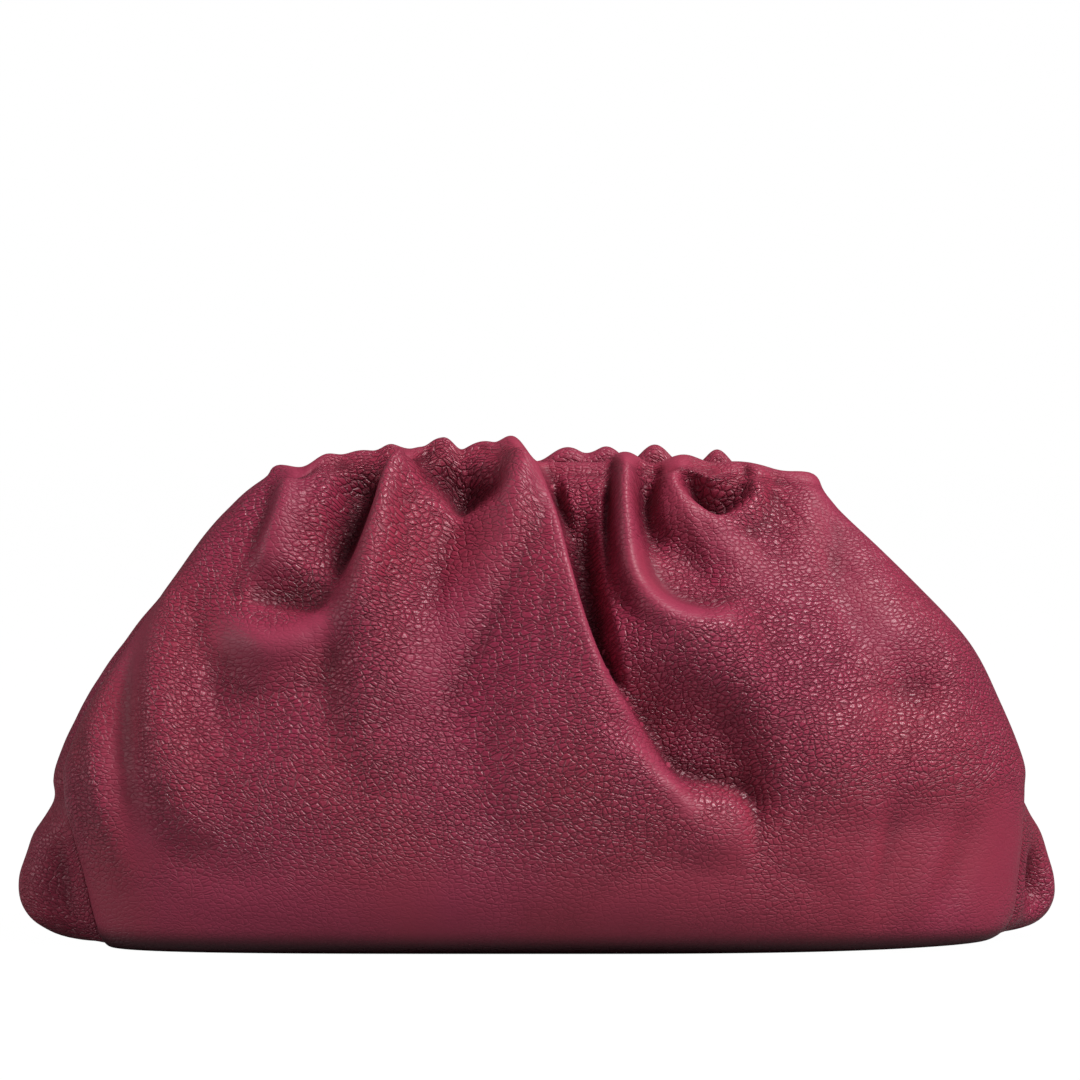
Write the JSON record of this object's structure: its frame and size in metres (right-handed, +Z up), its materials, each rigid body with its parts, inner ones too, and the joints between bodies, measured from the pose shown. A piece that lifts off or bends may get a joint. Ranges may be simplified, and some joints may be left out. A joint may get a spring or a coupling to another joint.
{
  "type": "cloud pouch bag",
  "caption": "Soft leather pouch clutch with a gathered mouth on a hidden frame, folded end gussets swelling to small ears, and a flat base.",
  "frame": {"origin": "on the resting surface, under the middle of the base", "axes": "+X to the right of the front, along the bag's length; +Y to the back; +Z up"},
  "size_m": [0.34, 0.1222, 0.1675],
  "materials": {
    "leather": "pebbled burgundy leather with a soft sheen",
    "frame_steel": "plain spring steel"
  },
  "bodies": {
    "root": {"front_panel": "leather", "back_panel": "leather", "left_gusset": "leather", "right_gusset": "leather", "mouth_frame": "frame_steel"}
  },
  "joints": []
}
